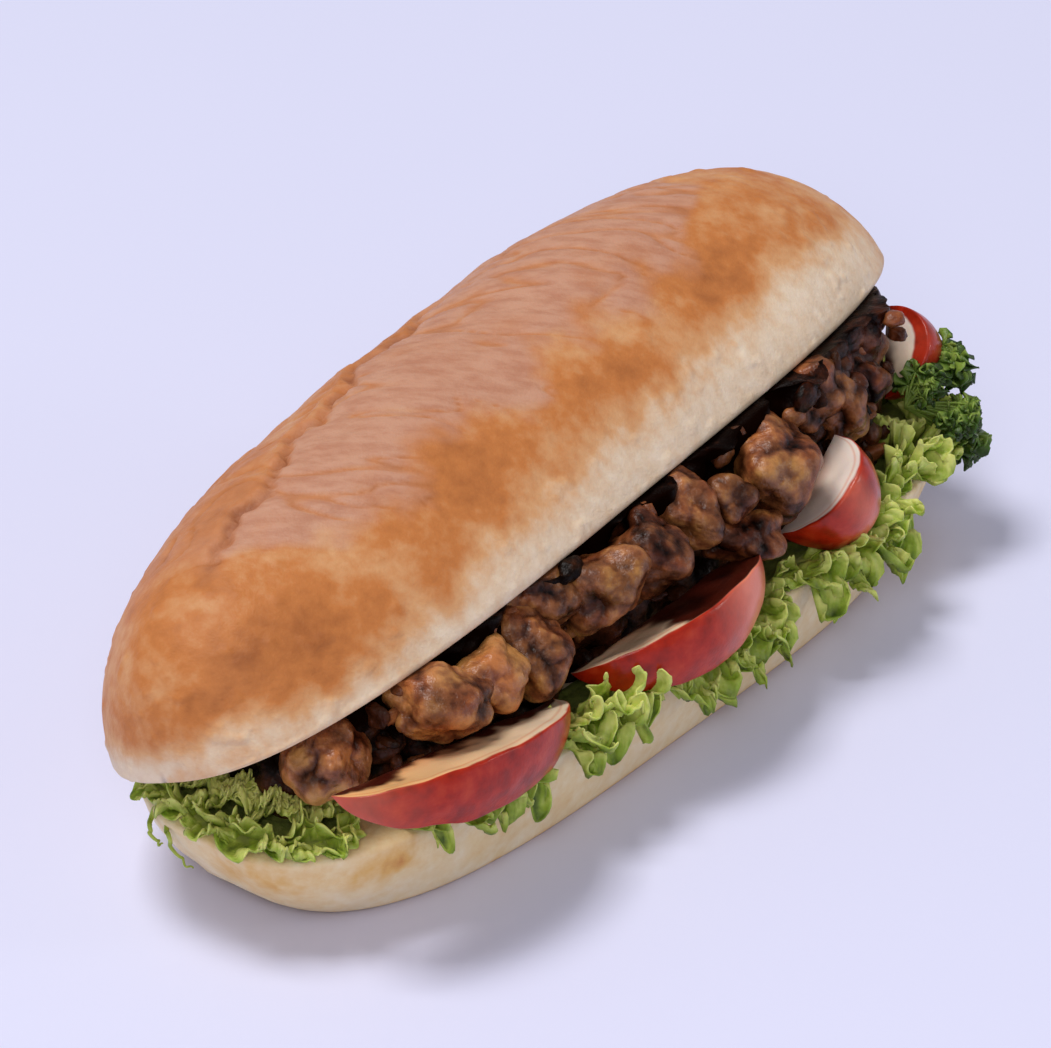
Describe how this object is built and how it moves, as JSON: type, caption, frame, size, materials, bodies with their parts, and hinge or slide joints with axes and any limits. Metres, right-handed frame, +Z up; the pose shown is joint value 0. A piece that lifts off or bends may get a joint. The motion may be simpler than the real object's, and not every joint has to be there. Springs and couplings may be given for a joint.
{
  "type": "chicken liver sandwich",
  "caption": "Long soft roll cut lengthways and opened at the front, filled with fried chicken liver, tomato wedges and curly lettuce, with a parsley sprig at one end.",
  "frame": {"origin": "under the middle of the sandwich's bounding box, on the surface it rests on", "axes": "+X along the roll towards the parsley end, -Y towards the open side with the filling, +Z up"},
  "size_m": [0.2298, 0.1004, 0.0806],
  "materials": {
    "crust": "golden brown baked crust, satin",
    "pale_crust": "pale cream baked crust, matte",
    "tomato": "glossy red skin, moist pale cut flesh",
    "lettuce": "light green curly leaf, satin",
    "liver": "fried brown liver, rough with a moist sheen",
    "parsley": "dark green curly parsley, matte"
  },
  "bodies": {
    "root": {"roll_top": "crust", "roll_bottom": "pale_crust", "tomato_1": "tomato", "tomato_2": "tomato", "tomato_3": "tomato", "tomato_4": "tomato", "lettuce_1": "lettuce", "lettuce_2": "lettuce", "lettuce_3": "lettuce", "lettuce_4": "lettuce", "lettuce_5": "lettuce", "lettuce_6": "lettuce", "liver_01": "liver", "liver_02": "liver", "liver_03": "liver", "liver_04": "liver", "liver_05": "liver", "liver_06": "liver", "liver_07": "liver", "liver_08": "liver", "liver_09": "liver", "liver_10": "liver", "liver_11": "liver", "liver_12": "liver", "liver_13": "liver", "liver_14": "liver", "liver_15": "liver", "liver_bed": "liver", "parsley": "parsley"}
  },
  "joints": []
}
